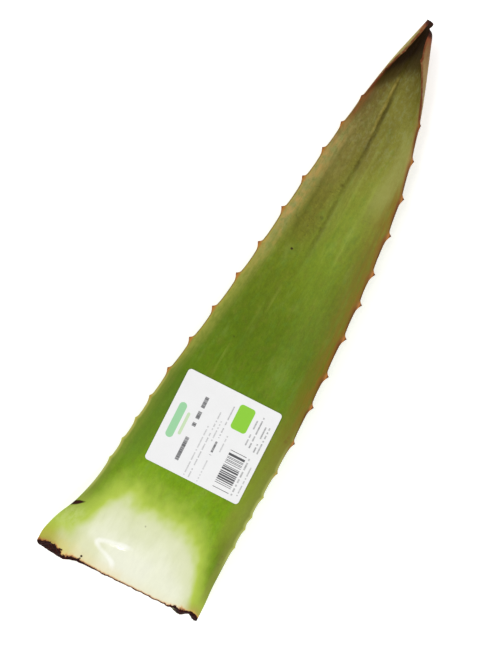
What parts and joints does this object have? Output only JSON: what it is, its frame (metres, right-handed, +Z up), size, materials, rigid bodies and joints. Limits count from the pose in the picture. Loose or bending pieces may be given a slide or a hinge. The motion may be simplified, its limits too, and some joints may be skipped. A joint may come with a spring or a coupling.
{
  "type": "aloe vera leaf",
  "caption": "Cut aloe vera leaf lying on its rounded back: a thick tapering blade with spiny margins, a folded dry tip and a plain price label.",
  "frame": {"origin": "on the surface that the leaf lies on, under the middle of its bounding box", "axes": "+X from the cut end to the tip, +Y to the leaf's left seen from above, +Z up, out of its hollow upper face"},
  "size_m": [0.3756, 0.1032, 0.0248],
  "materials": {
    "leaf": "waxy satin green skin, white at the cut end, brown at the margins and tip",
    "label": "smooth white thermal paper"
  },
  "bodies": {
    "root": {"leaf": "leaf", "label": "label"}
  },
  "joints": []
}
